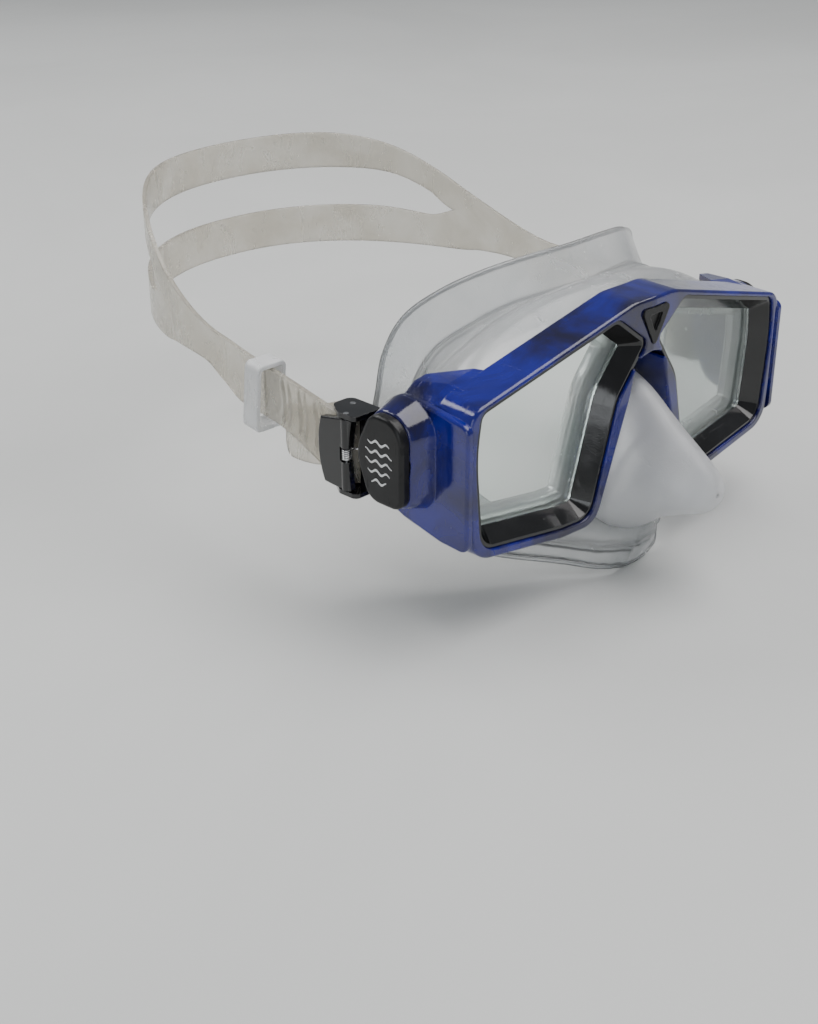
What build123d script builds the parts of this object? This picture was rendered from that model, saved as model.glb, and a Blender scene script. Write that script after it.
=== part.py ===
"""Two-window diving mask, as worn: frame, glass, silicone skirt, swivel buckles and head strap.

Millimetres. +X is the wearer's left, the mask faces -Y, +Z is up. The origin is in the plane of
symmetry, between the two windows. Everything on one side is built for +X and mirrored for -X.
"""
import os
from math import cos, hypot, pi, radians, sin, tan

from build123d import *

# ---------------------------------------------------------------- windows and frame
RIM_Y = -5.0                # front of the frame in the plane of symmetry
WRAP = 3.4                  # degrees each window is turned back from straight ahead
FRAME_DEPTH = 14.0
FRAME_WALL = 2.6
FRAME_DRAFT = 3.0           # degrees the frame widens towards the back
WINDOW = [(74.4, 10.4), (16.6, 25.4), (2.2, 14.9), (14.5, -1.4),
          (24.6, -39.2), (37.5, -39.0), (73.6, -34.4), (76.4, -3.0)]
WINDOW_R = [4.5, 4.5, 3.0, 14.0, 6.5, 12.0, 7.5, 60.0]
FRONT = [(78.0, 11.0), (10.0, 28.8), (-9.0, 29.2), (-9.0, 13.0), (6.6, 9.6),
         (9.6, -2.6), (22.4, -41.9), (38.0, -41.9), (76.8, -36.8), (79.6, -3.0)]
FRONT_R = [6.5, 18.0, 2.0, 2.0, 5.0, 20.0, 8.0, 12.0, 9.5, 60.0]
LEDGE_INSET = 1.6           # how far the lens seat stands inside the window
LEDGE_DEPTH = 10.6
LEDGE_THICK = 1.6

# ---------------------------------------------------------------- lens and retainer
RETAINER_GAP = 0.12
RETAINER_FRONT = 0.9        # depth of the retainer's front edge behind the frame's front
RETAINER_BACK = 6.4
RETAINER_LIP = 1.3          # width of the retainer's front edge
RETAINER_BORE = 5.4         # how far its back edge stands inside the window
LENS_INSET = 4.4
LENS_THICK = 4.0

# ---------------------------------------------------------------- face and skirt
FACE_HALF_WIDTH = 76.0
FACE_HALF_LENGTH = 98.0
FACE_CENTRE_Y = 107.0
FACE_EXPONENT = 2.2
BROW_SLOPE = 0.6            # how fast the face leans back above eye level
LIP_CENTRE = (0.0, 12.0, -57.0)     # the upper lip stands proud of the face
LIP_RADII = (24.0, 13.5, 22.0)
SKIN_GAP = 0.3
FLANGE_THICK = 1.6
SKIRT_WALL = 2.0
FLANGE_OUT = [(0.0, 38.4), (18.0, 38.0), (34.0, 35.8), (47.0, 31.0), (57.0, 23.5), (63.0, 13.0),
              (66.6, 1.5), (67.6, -11.0), (67.0, -27.0), (62.6, -40.8), (48.5, -51.8), (26.0, -58.4),
              (13.6, -61.8), (0.0, -64.2)]
FLANGE_FOLD = [(0.0, 30.0), (16.5, 29.4), (31.0, 27.4), (42.0, 22.4), (51.0, 15.6), (57.0, 7.2),
               (60.0, -1.5), (60.5, -13.5), (58.0, -26.0), (52.0, -38.0), (38.0, -49.0), (19.0, -57.5),
               (0.0, -60.0)]
FLANGE_IN = [(0.0, 18.5), (15.0, 18.0), (26.0, 16.4), (35.0, 13.0), (43.0, 8.0), (49.0, 1.0),
             (51.0, -7.0), (48.0, -18.0), (41.5, -26.5), (32.0, -33.5), (22.0, -38.5), (14.0, -44.0),
             (0.0, -46.5)]
SKIRT_FRONT = [(0.0, 26.0), (14.0, 25.2), (44.0, 17.0), (68.0, 10.6), (75.6, 4.0), (76.4, -6.0),
               (74.6, -28.0), (68.0, -35.0), (38.0, -42.0), (19.0, -49.0), (0.0, -51.0)]
WEB_THICK = 3.4
COLLAR_GAP = 0.1
COLLAR_BACK = 15.0
COLLAR_BORE = 8.0

# nose pocket: y of the section, its centre height, half width and half height
NOSE = [(-32.0, -29.0, 3.2, 3.4), (-29.0, -29.0, 6.6, 6.6), (-22.0, -28.2, 10.0, 11.0),
        (-12.0, -27.0, 13.4, 17.0), (0.0, -26.0, 17.2, 23.0), (10.0, -25.6, 20.5, 28.5)]

# ---------------------------------------------------------------- buckle pod
POD_Y = 23.0                # swivel axis of the buckle
POD_Z = -6.5
POD_X = 80.4                # foot of the pod on the arm
CAP_X = 88.2                # joint between pod and cap
CAP_OUT = 91.6
POD = [(14.2, 7.6), (28.6, 8.2), (35.4, -5.5), (29.6, -21.4), (14.2, -21.2)]
POD_R = [8.0, 7.0, 13.0, 7.0, 5.0]
POD_FLARE = 2.6
ARM = [(-1.0, 7.5), (12.0, 9.5), (27.0, 11.0), (35.8, 4.5), (36.6, -14.0),
       (29.0, -28.5), (10.0, -32.5), (-1.0, -33.0)]
ARM_R = [3.0, 8.0, 9.0, 9.0, 10.0, 9.0, 9.0, 3.0]
ARM_IN = 78.0
SHOULDER = [(4.0, [(56.0, 16.0), (70.0, 12.6), (76.6, 9.0), (78.8, 5.0), (76.6, 4.0), (69.0, 9.9),
                   (56.0, 13.4)]),
            (16.0, [(60.0, 16.0), (71.0, 14.2), (77.8, 10.0), (79.6, 5.0), (77.4, 4.0), (70.0, 11.6),
                    (60.0, 13.6)]),
            (27.0, [(69.0, 13.8), (74.0, 13.0), (78.8, 9.6), (80.1, 5.0), (78.0, 4.0), (74.0, 10.2),
                    (69.0, 11.8)])]
RIM_ROUND = 1.0
WINDOW_ROUND = 0.5
ARM_ROUND = 1.0
POD_ROUND = 0.8
GRIP = 0.05                 # tolerance for picking edges
DISC_R = 8.4
DISC_IN = 84.9
DISC_OUT = 87.3
DISC_GAP = 0.2
SCREW_R = 2.5
SCREW_HEAD_R = 4.3
SWING = 20.0                # degrees the buckle swivels each way
SWING_ROOM = 12.0           # distance from the swivel axis where the buckle's bridge sweeps

# ---------------------------------------------------------------- buckle
BUCKLE_Z = -10.0
CHEEK_IN = 11.9
CHEEK_OUT = 13.4
BRIDGE_X = (79.4, 85.9)
BRIDGE_Y = (35.4, 38.2)
ROLLER_X = 82.6
ROLLER_Y = 44.6
ROLLER_R = 3.0
ROLLER_PIN_R = 0.9
LEVER_X = 88.2
LEVER_THICK = 2.4
LEVER_ROUND = 0.6
LEVER_PIN_X = 89.5
LEVER_PIN_Y = 40.2
LEVER_PIN_R = 0.8
BARREL_R = 1.75
SPRING_R = 1.65
SPRING_LENGTH = 4.0
WIRE_R = 0.3
PIN_GAP = 0.05
LEVER = [(36.8, 2.6), (38.6, -10.0), (37.8, -22.6), (49.6, -21.6), (52.2, -10.0), (50.8, -0.4)]

# ---------------------------------------------------------------- strap and keeper
STRAP_T = 1.7
WRAP_GAP = 0.3
STRAP_HALF_WIDTH = 80.0     # of the path round the head
STRAP_BACK_Y = 206.0
STRAP_EXPONENT = 2.2
STRAP_TOP = [(38.0, 1.3), (50.0, 1.4), (78.0, 4.4), (95.0, 5.6), (110.0, 7.4), (122.0, 10.4),
             (135.0, 15.6), (147.0, 21.5), (158.0, 28.0), (175.0, 37.0), (192.0, 42.0), (210.0, 43.0)]
STRAP_BOTTOM = [(210.0, -2.0), (180.0, -3.0), (150.0, -3.5), (138.0, -2.5), (120.0, -3.2),
                (111.0, -7.6), (100.0, -12.4), (78.0, -13.0), (60.0, -17.5), (49.5, -20.8),
                (44.0, -21.1), (38.0, -21.0)]
SPLIT = [(152.0, 12.0), (164.0, 21.0), (180.0, 27.0), (212.0, 29.0), (212.0, 13.0),
         (180.0, 12.0), (160.0, 9.0)]
TAIL_SIDE = [(44.0, 1.3), (52.0, 0.8), (66.0, -4.6), (77.0, -6.6), (78.6, -9.0), (78.6, -22.0),
             (75.0, -25.0), (66.0, -24.6), (52.0, -21.5), (44.0, -21.3)]
STRAP_LEAD = [(85.9, 52.0), (84.6, 66.0), (83.0, 84.0), (81.2, 98.0)]
TAIL_LEAD = [(79.0, 56.0), (80.2, 68.0), (80.3, 82.0)]
KEEPER_Y = 84.5
KEEPER_Z = -4.2
KEEPER_X = (78.4, 90.2)
KEEPER_HEIGHT = 23.6
KEEPER_LENGTH = 6.8
KEEPER_WALL = 1.7
KEEPER_TILT = 6.5
KEEPER_ROUND = 0.4

LEFT = Plane((0, RIM_Y, 0), x_dir=(cos(radians(WRAP)), sin(radians(WRAP)), 0),
             z_dir=(sin(radians(WRAP)), -cos(radians(WRAP)), 0))
BIG = 400.0


# ---------------------------------------------------------------- helpers
def moved_in(points, distance):
    """The polygon with every edge moved inwards by distance (outwards if negative)."""
    area = sum(a[0] * b[1] - b[0] * a[1] for a, b in zip(points, points[1:] + points[:1]))
    turn = 1.0 if area > 0 else -1.0
    result = []
    for before, here, after in zip(points[-1:] + points[:-1], points, points[1:] + points[:1]):
        e1 = (here[0] - before[0], here[1] - before[1])
        e2 = (after[0] - here[0], after[1] - here[1])
        n1 = (-e1[1] * turn / hypot(*e1), e1[0] * turn / hypot(*e1))
        n2 = (-e2[1] * turn / hypot(*e2), e2[0] * turn / hypot(*e2))
        scale = distance / (1.0 + n1[0] * n2[0] + n1[1] * n2[1])
        result.append((here[0] + scale * (n1[0] + n2[0]), here[1] + scale * (n1[1] + n2[1])))
    return result


def rounded(points, radii, inset=0.0):
    """A face with rounded corners, optionally inset; convex corners tighten as it shrinks."""
    moved = moved_in(points, inset)
    area = sum(a[0] * b[1] - b[0] * a[1] for a, b in zip(points, points[1:] + points[:1]))
    new_radii = []
    for before, here, after, r in zip(points[-1:] + points[:-1], points,
                                      points[1:] + points[:1], radii):
        cross = ((here[0] - before[0]) * (after[1] - here[1])
                 - (here[1] - before[1]) * (after[0] - here[0]))
        convex = cross * area > 0
        new_radii.append(max(r - inset if convex else r + inset, 0.8) if r else 0.0)
    return make_face(FilletPolyline(*moved, radius=new_radii, close=True).edges())


def window(inset, depth):
    """The window's outline on a plane that lies depth behind the frame's front."""
    return LEFT.offset(-depth) * rounded(WINDOW, WINDOW_R, inset)


def window_block(inset, depth, back):
    return extrude(window(inset, depth), dir=-LEFT.z_dir, amount=back - depth)


def both(shape):
    """The +X shape and its mirror image, keyed by the wearer's side."""
    return {"left": shape, "right": mirror(shape, about=Plane.YZ)}


def side_plane(x):
    """The plane at a given x, with local x along +Y and local y along +Z, facing +X."""
    return Plane.YZ.offset(x)


def closed(*edges):
    return make_face(list(edges))


def across(points):
    """A half outline in X and Z, completed with its mirror image, as a smooth closed face."""
    ring = points + [(-x, z) for x, z in reversed(points[1:-1])]
    return Plane.XZ * make_face(Spline(*ring, periodic=True))


def through(face, start, end):
    """The block that a face drawn on the XZ plane fills from y = start to y = end."""
    return extrude(Pos(0, start, 0) * face, dir=(0, 1, 0), amount=end - start)


def superellipse(half_width, half_length, exponent, steps):
    """Points of a quarter superellipse, from the end of its length to the end of its width."""
    points = []
    for k in range(steps + 1):
        t = pi / 2 * k / steps
        points.append((half_width * sin(t) ** (2 / exponent), half_length * cos(t) ** (2 / exponent)))
    return points


def one_solid(shape):
    """The single solid of a result, without the slivers that a cut can leave."""
    solids = sorted(shape.solids(), key=lambda s: s.volume)
    return solids[-1]


# ---------------------------------------------------------------- face
def face_column(grow):
    """The wearer's face as a column that leans back above the eyes, with the upper lip, grown."""
    quarter = superellipse(FACE_HALF_WIDTH + grow, FACE_HALF_LENGTH + grow, FACE_EXPONENT, 9)
    front = [(-x, -y) for x, y in reversed(quarter[1:])] + [(x, -y) for x, y in quarter]
    arc = Spline(*[(x, FACE_CENTRE_Y + y) for x, y in front])
    back = Polyline(arc @ 1, (arc @ 1) + Vector(0, 20), (arc @ 0) + Vector(0, 20), arc @ 0)
    outline = make_face(arc + back)
    column = extrude(outline, amount=-120)
    column += extrude(outline, amount=60, dir=(0, BROW_SLOPE, 1))
    rx, ry, rz = (r + grow for r in LIP_RADII)
    lip = Pos(*LIP_CENTRE) * scale(Sphere(1.0), by=(rx, ry, rz))
    return column + lip


# ---------------------------------------------------------------- frame
def half_frame():
    """The +X half of the frame: rim, lens seat, side arm and buckle pod."""
    front = LEFT * rounded(FRONT, FRONT_R)
    back = LEFT.offset(-FRAME_DEPTH) * rounded(FRONT, FRONT_R, -FRAME_DEPTH * tan(radians(FRAME_DRAFT)))
    body = loft([front, back])
    body = fillet(edges_on_front(body), radius=RIM_ROUND)
    hollow = LEFT.offset(-LEDGE_DEPTH - LEDGE_THICK) * rounded(FRONT, FRONT_R, FRAME_WALL)
    arm = extrude(side_plane(ARM_IN) * rounded(ARM, ARM_R), amount=POD_X - ARM_IN)
    arm = fillet(outer_edges(arm), radius=ARM_ROUND)
    foot = side_plane(POD_X - 0.4) * rounded(POD, POD_R, -POD_FLARE)
    top = side_plane(CAP_X) * rounded(POD, POD_R)
    pod = loft([foot, top])
    pod = fillet(outer_edges(pod), radius=POD_ROUND)
    body = body + arm + pod + shoulder()
    body -= window_block(0.0, -1.0, LEDGE_DEPTH)
    opening = window(0.0, 0.0)
    window_edges = [e for e in edges_on_front(body) if opening.distance_to(Vertex(e.center())) < GRIP]
    body = fillet(window_edges, radius=WINDOW_ROUND)
    body -= window_block(LEDGE_INSET, 0.0, FRAME_DEPTH + 1)
    body -= extrude(hollow, dir=-LEFT.z_dir, amount=FRAME_DEPTH)
    body -= swivel_recess()
    for step in (-1.0, -0.5, 0.0, 0.5, 1.0):
        body -= bridge_sweep(step * SWING)
    return body


def edges_on_front(shape):
    """The edges that lie in the plane of the frame's front."""
    return [e for e in shape.edges() if abs((e.center() - LEFT.origin).dot(LEFT.z_dir)) < GRIP]


def outer_edges(shape):
    return shape.faces().sort_by(Axis.X)[-1].edges()


def shoulder(grow=0.0):
    """The wing that carries the rim's top corner back over the skirt into the arm."""
    faces = []
    for y, outline in SHOULDER:
        end = -1 if y == SHOULDER[0][0] else int(y == SHOULDER[-1][0])
        ring = moved_in(outline, -grow) if grow else outline
        faces.append(Pos(0, y + end * grow, 0) * (Plane.XZ * make_face(Polyline(*ring, close=True))))
    return loft(faces, ruled=True)


def bridge_sweep(angle):
    """The room behind the pod for the buckle's bridge and cheeks at one swivel angle."""
    room = Box(14.0, 24.0, 2 * CHEEK_OUT + 1.0)
    room = Pos(BRIDGE_X[0] - 0.3 + 7.0, SWING_ROOM + 12.0, BUCKLE_Z - POD_Z) * room
    return Pos(0, POD_Y, POD_Z) * Rot(angle, 0, 0) * room


def swivel_recess():
    """The round pocket for the buckle's disc, its slot to the rear and the screw's bore."""
    axis = Plane((DISC_IN - 0.15, POD_Y, POD_Z), z_dir=(1, 0, 0))
    pocket = extrude(axis * Circle(DISC_R + DISC_GAP), amount=20)
    reach = 20.0
    half = 6.9
    spread = reach * tan(radians(SWING))
    slot_side = [(POD_Y, POD_Z - half), (POD_Y + reach, POD_Z - half - spread),
                 (POD_Y + reach, POD_Z + half + spread), (POD_Y, POD_Z + half)]
    slot = extrude(side_plane(DISC_IN - 0.15) * make_face(Polyline(*slot_side, close=True)), amount=20)
    bore = extrude(Plane((ARM_IN + 1.2, POD_Y, POD_Z), z_dir=(1, 0, 0)) * Circle(SCREW_R), amount=20)
    return pocket + slot + bore


def frame():
    half = half_frame()
    keep = Pos(BIG / 2, 0, 0) * Box(BIG, BIG, BIG)
    half = half & keep
    whole = half + mirror(half, about=Plane.YZ)
    whole -= bridge_recess()
    return one_solid(whole)


# ---------------------------------------------------------------- bridge clip
CLIP = [(-7.6, 26.0), (7.6, 26.0), (0.0, 12.4)]
CLIP_DEPTH = 2.2


def clip_block(inset, front, back):
    face = Plane.XZ * rounded(CLIP, [1.6, 1.6, 1.2], inset)
    return through(face, front, back)


def bridge_recess():
    return clip_block(0.0, RIM_Y - 5, RIM_Y + CLIP_DEPTH)


def bridge_clip():
    plate = clip_block(0.12, RIM_Y - 0.4, RIM_Y + CLIP_DEPTH)
    return plate - clip_block(2.3, RIM_Y - 2, RIM_Y + 0.5)


# ---------------------------------------------------------------- glass and retainers
def retainer():
    outer = window_block(RETAINER_GAP, RETAINER_FRONT, RETAINER_BACK)
    bore = loft([window(RETAINER_LIP, RETAINER_FRONT), window(RETAINER_BORE, RETAINER_BACK)])
    return one_solid(outer - bore)


def lens():
    return window_block(LENS_INSET, RETAINER_BACK, RETAINER_BACK + LENS_THICK)


# ---------------------------------------------------------------- skirt
def collar():
    """The silicone ring that holds one pane and reaches back behind it."""
    lens_back = RETAINER_BACK + LENS_THICK
    ring = window_block(LEDGE_INSET + COLLAR_GAP, RETAINER_BACK, COLLAR_BACK)
    ring -= window_block(LENS_INSET, RETAINER_BACK - 1, lens_back)
    ring -= window_block(COLLAR_BORE, lens_back - 1, COLLAR_BACK + 1)
    return ring


def skirt_block(shrink, depth):
    """The block inside the skirt's wall, from the web behind the lenses back past the face."""
    front = moved_in(SKIRT_FRONT, shrink)
    fold = moved_in(FLANGE_FOLD, shrink)
    for ring, full in ((front, SKIRT_FRONT), (fold, FLANGE_FOLD)):
        ring[0] = (0.0, full[0][1] - shrink)
        ring[-1] = (0.0, full[-1][1] + shrink)
    start = RIM_Y + LEDGE_DEPTH
    block = loft([Pos(0, start, 0) * across(front), Pos(0, 46, 0) * across(fold)])
    for side in both(window_plane_block(depth)).values():
        block -= side
    return block


def window_plane_block(depth):
    """A thick sheet on the +X side, in front of the plane that lies depth behind the windows."""
    sheet = Pos(55, 0) * Rectangle(110 + 2 * tan(radians(WRAP)) * depth, 160)
    return extrude(LEFT.offset(-depth) * sheet, amount=30)


def frame_envelope(grow):
    """The room that the +X half of the frame takes up, grown on all sides."""
    outline = rounded(FRONT, FRONT_R, -grow - FRAME_DEPTH * tan(radians(FRAME_DRAFT)))
    return extrude(LEFT.offset(1) * outline, dir=-LEFT.z_dir, amount=FRAME_DEPTH + 1 + COLLAR_GAP)


def frame_walls():
    """The room of the frame's outer wall alone, which the skirt stays clear of."""
    inside = LEFT.offset(2) * rounded(FRONT, FRONT_R, FRAME_WALL + COLLAR_GAP)
    return frame_envelope(COLLAR_GAP) - extrude(inside, dir=-LEFT.z_dir, amount=FRAME_DEPTH + 5)


def nose_block(shrink):
    """The nose pocket's outer block, or its cavity when shrunk, narrowed where the frame is."""
    sections = []
    for y, z, half_width, half_height in NOSE:
        w = half_width - shrink
        h = half_height - shrink
        if w > 1.0:
            sections.append(Pos(0, y + shrink, z) * (Plane.XZ * Ellipse(w, h)))
    block = loft(sections)
    for side in both(frame_envelope(COLLAR_GAP + shrink)).values():
        block -= side
    return block


def skirt():
    web_front = LEDGE_DEPTH + LEDGE_THICK + COLLAR_GAP
    shell = skirt_block(0.0, web_front) - skirt_block(SKIRT_WALL, web_front + WEB_THICK)
    for walls in both(frame_walls()).values():
        shell -= walls
    for wing in both(shoulder(2 * COLLAR_GAP)).values():
        shell -= wing
    for ring in both(collar()).values():
        shell += ring
    shell += nose_block(0.0)
    shell -= nose_block(SKIRT_WALL)
    for bore in both(window_block(COLLAR_BORE, RETAINER_BACK + 1, COLLAR_BACK + 6)).values():
        shell -= bore
    skin = face_column(SKIN_GAP)
    flange = face_column(SKIN_GAP + FLANGE_THICK) - skin
    flange &= through(across(FLANGE_OUT), -40, 80)
    flange -= through(across(FLANGE_IN), -60, 100)
    for room in both(frame_envelope(COLLAR_GAP)).values():
        flange -= room
    return one_solid(shell - skin + flange)


# ---------------------------------------------------------------- buckle
def pod_cap():
    plate = extrude(side_plane(CAP_X + 0.15) * rounded(POD, POD_R, 0.5), amount=CAP_OUT - CAP_X - 0.15)
    rim = plate.faces().sort_by(Axis.X)[-1].edges()
    plate = fillet(rim, radius=1.3)
    head_room = Plane((CAP_X, POD_Y, POD_Z), z_dir=(1, 0, 0)) * Circle(SCREW_HEAD_R + 0.4)
    return plate - extrude(head_room, amount=1.7)


def pivot_screw():
    axis = Plane((ARM_IN + 1.2, POD_Y, POD_Z), z_dir=(1, 0, 0))
    head = Plane((DISC_OUT + 0.15, POD_Y, POD_Z), z_dir=(1, 0, 0))
    screw = extrude(axis * Circle(SCREW_R), amount=DISC_OUT + 0.2 - ARM_IN - 1.2)
    screw += extrude(head * Circle(SCREW_HEAD_R), amount=2.0)
    cross = Pos(DISC_OUT + 2.15, POD_Y, POD_Z) * (Box(2.0, 4.6, 0.9) + Box(2.0, 0.9, 4.6))
    return screw - cross


def buckle_body():
    axis = Plane((DISC_IN, POD_Y, POD_Z), z_dir=(1, 0, 0))
    thick = DISC_OUT - DISC_IN
    disc = extrude(axis * Circle(DISC_R), amount=thick)
    neck_side = [(POD_Y, POD_Z - 6.4), (BRIDGE_Y[0] + 1, POD_Z - 6.4),
                 (BRIDGE_Y[0] + 1, POD_Z + 6.4), (POD_Y, POD_Z + 6.4)]
    neck = extrude(side_plane(DISC_IN) * make_face(Polyline(*neck_side, close=True)), amount=thick)
    height = 2 * CHEEK_OUT
    bridge = Pos(sum(BRIDGE_X) / 2, sum(BRIDGE_Y) / 2, BUCKLE_Z) * Box(
        BRIDGE_X[1] - BRIDGE_X[0], BRIDGE_Y[1] - BRIDGE_Y[0], height)
    cheek_side = [(79.4, BRIDGE_Y[0]), (90.6, BRIDGE_Y[0]), (90.8, 42.6), (87.0, 48.8), (79.4, 48.8)]
    cheek = make_face(FilletPolyline(*cheek_side, radius=[1.2, 2.0, 2.4, 2.8, 2.6], close=True))
    cheeks = [extrude(Pos(0, 0, z) * cheek, amount=CHEEK_OUT - CHEEK_IN)
              for z in (BUCKLE_Z + CHEEK_IN, BUCKLE_Z - CHEEK_OUT)]
    body = disc + neck + bridge + cheeks[0] + cheeks[1]
    body -= extrude(Plane((DISC_IN - 1, POD_Y, POD_Z), z_dir=(1, 0, 0)) * Circle(SCREW_R + PIN_GAP), amount=6)
    for x, y, r in ((ROLLER_X, ROLLER_Y, ROLLER_PIN_R), (LEVER_PIN_X, LEVER_PIN_Y, LEVER_PIN_R)):
        body -= Pos(x, y, BUCKLE_Z) * Cylinder(r, 60)
    return one_solid(body)


def at_lever_pin():
    return Pos(LEVER_PIN_X, LEVER_PIN_Y, BUCKLE_Z)


def pin(x, y, radius):
    return Pos(x, y, BUCKLE_Z) * Cylinder(radius, 2 * CHEEK_OUT)


def strap_roller():
    length = 2 * CHEEK_IN - 0.5
    roller = Pos(ROLLER_X, ROLLER_Y, BUCKLE_Z) * Cylinder(ROLLER_R, length)
    flutes = 12
    for k in range(flutes):
        angle = 2 * pi * k / flutes
        x = ROLLER_X + (ROLLER_R + 0.15) * cos(angle)
        y = ROLLER_Y + (ROLLER_R + 0.15) * sin(angle)
        roller -= Pos(x, y, BUCKLE_Z) * Cylinder(0.4, length)
    return roller - Pos(ROLLER_X, ROLLER_Y, BUCKLE_Z) * Cylinder(ROLLER_PIN_R + PIN_GAP, 60)


def release_lever():
    half = CHEEK_IN - 0.35
    front = ThreePointArc(LEVER[0], LEVER[1], LEVER[2])
    rear = ThreePointArc(LEVER[3], LEVER[4], LEVER[5])
    side = closed(front, Line(LEVER[2], LEVER[3]), rear, Line(LEVER[5], LEVER[0]))
    plate = extrude(side_plane(LEVER_X) * side, amount=LEVER_THICK)
    plate = fillet(outer_edges(plate), radius=LEVER_ROUND)
    between_cheeks = Pos(LEVER_X, LEVER_PIN_Y, BUCKLE_Z) * Box(20, 40, 2 * half)
    barrel = at_lever_pin() * Cylinder(BARREL_R, 2 * half)
    body = (plate & between_cheeks) + barrel
    body -= at_lever_pin() * Cylinder(LEVER_PIN_R + PIN_GAP, BIG)
    body -= at_lever_pin() * Box(2 * BARREL_R + 1, 2 * (BARREL_R + 0.2), SPRING_LENGTH + 0.6)
    return one_solid(body)


def lever_spring():
    """A torsion spring: a coil round the lever's pin, one leg on the bridge, one on the lever."""
    coil = Cylinder(SPRING_R, SPRING_LENGTH) - Cylinder(SPRING_R - 2 * WIRE_R, SPRING_LENGTH + 1)
    spring = at_lever_pin() * coil
    end = SPRING_LENGTH / 2 - WIRE_R
    inside_lever = LEVER_X - WIRE_R - PIN_GAP
    legs = [((LEVER_X + 0.3, LEVER_PIN_Y - 0.9), (BRIDGE_X[1] + 0.4, BRIDGE_Y[1] - 1.2), end),
            ((inside_lever, LEVER_PIN_Y), (inside_lever, LEVER_PIN_Y + 2.9), -end)]
    for start, stop, z in legs:
        origin = Vector(*start, BUCKLE_Z + z)
        path = Vector(*stop, BUCKLE_Z + z) - origin
        spring += extrude(Plane(origin, z_dir=path) * Circle(WIRE_R), amount=path.length)
    return one_solid(spring)


# ---------------------------------------------------------------- strap
def ribbon(path, end_direction):
    """A strip of the strap's thickness in plan, along a smooth path through the given points."""
    normals = []
    for before, after in zip(path[:1] + path[:-1], path[1:] + path[-1:]):
        dx, dy = after[0] - before[0], after[1] - before[1]
        normals.append((dy / hypot(dx, dy), -dx / hypot(dx, dy)))
    normals[0] = (1.0, 0.0)
    normals[-1] = (end_direction[1], -end_direction[0])
    half = STRAP_T / 2
    one = [(x + half * nx, y + half * ny) for (x, y), (nx, ny) in zip(path, normals)]
    other = [(x - half * nx, y - half * ny) for (x, y), (nx, ny) in zip(path, normals)]
    ends = ((0, 1), end_direction)
    return closed(Spline(*one, tangents=ends), Line(one[-1], other[-1]),
                  Spline(*other, tangents=ends), Line(other[0], one[0]))


def band(plan_face, side_face):
    """The strap's plan cut to its side view."""
    return extrude(Pos(0, 0, -60) * plan_face, amount=140) & extrude(
        side_plane(-BIG / 2) * side_face, amount=BIG)


def strap():
    reach = ROLLER_R + WRAP_GAP + STRAP_T / 2
    start = (ROLLER_X + reach, ROLLER_Y)
    inner = (ROLLER_X - reach, ROLLER_Y)
    quarter = superellipse(STRAP_HALF_WIDTH, STRAP_BACK_Y - FACE_CENTRE_Y, STRAP_EXPONENT, 8)
    rear = [(x, FACE_CENTRE_Y + y) for x, y in reversed(quarter)]
    half_path = [start] + STRAP_LEAD + rear
    whole_path = half_path + [(-x, y) for x, y in reversed(half_path[:-1])]
    side_face = closed(Spline(*STRAP_TOP), Line(STRAP_TOP[-1], STRAP_BOTTOM[0]),
                       Spline(*STRAP_BOTTOM), Line(STRAP_BOTTOM[-1], STRAP_TOP[0]))
    split = make_face(Spline(*SPLIT, periodic=True))
    main = band(ribbon(whole_path, (0, -1)), side_face)
    main -= extrude(side_plane(-BIG / 2) * split, amount=BIG)
    tail = band(ribbon([inner] + TAIL_LEAD, (0, 1)), make_face(Polyline(*TAIL_SIDE, close=True)))
    ring = Circle(reach + STRAP_T / 2) - Circle(reach - STRAP_T / 2)
    front_half = Pos(0, -reach, 0) * Rectangle(4 * reach, 2 * reach)
    turn = extrude(Pos(ROLLER_X, ROLLER_Y, STRAP_BOTTOM[-1][1]) * (ring & front_half),
                   amount=STRAP_TOP[0][1] - STRAP_BOTTOM[-1][1])
    result = main
    for half in both(tail + turn).values():
        result += half
    return one_solid(result)


def keeper():
    width = KEEPER_X[1] - KEEPER_X[0]
    middle = (KEEPER_X[0] + KEEPER_X[1]) / 2
    ring = RectangleRounded(width, KEEPER_HEIGHT, 2.4)
    ring -= RectangleRounded(width - 2 * KEEPER_WALL, KEEPER_HEIGHT - 2 * KEEPER_WALL, 1.0)
    block = extrude(Plane.XZ * ring, amount=KEEPER_LENGTH / 2, both=True)
    block = fillet(block.edges(), radius=KEEPER_ROUND)
    return Pos(middle, KEEPER_Y, KEEPER_Z) * Rot(KEEPER_TILT, 0, 0) * block


# ---------------------------------------------------------------- write
def main():
    os.makedirs("parts", exist_ok=True)
    shapes = {"front_frame": frame(), "skirt": skirt(), "bridge_clip": bridge_clip(), "strap": strap()}
    sided = {
        "lens_retainer": retainer(), "lens": lens(), "boss_cap": pod_cap(),
        "pivot_screw": pivot_screw(), "buckle_body": buckle_body(),
        "release_lever": release_lever(), "lever_spring": lever_spring(),
        "strap_roller": strap_roller(), "strap_keeper": keeper(),
        "roller_pin": pin(ROLLER_X, ROLLER_Y, ROLLER_PIN_R),
        "lever_pin": pin(LEVER_PIN_X, LEVER_PIN_Y, LEVER_PIN_R),
    }
    for name, shape in sided.items():
        for side, copy in both(shape).items():
            shapes[f"{name}_{side}"] = copy
    for name, shape in shapes.items():
        export_step(shape, f"parts/{name}.step")


main()
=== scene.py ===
"""Two-window diving mask: blue frame, glass, clear silicone skirt, swivel buckles, head strap."""
from math import cos, exp, pi, radians, sin, sqrt, tan

import bpy
from mathutils import Matrix, Vector, noise


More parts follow.
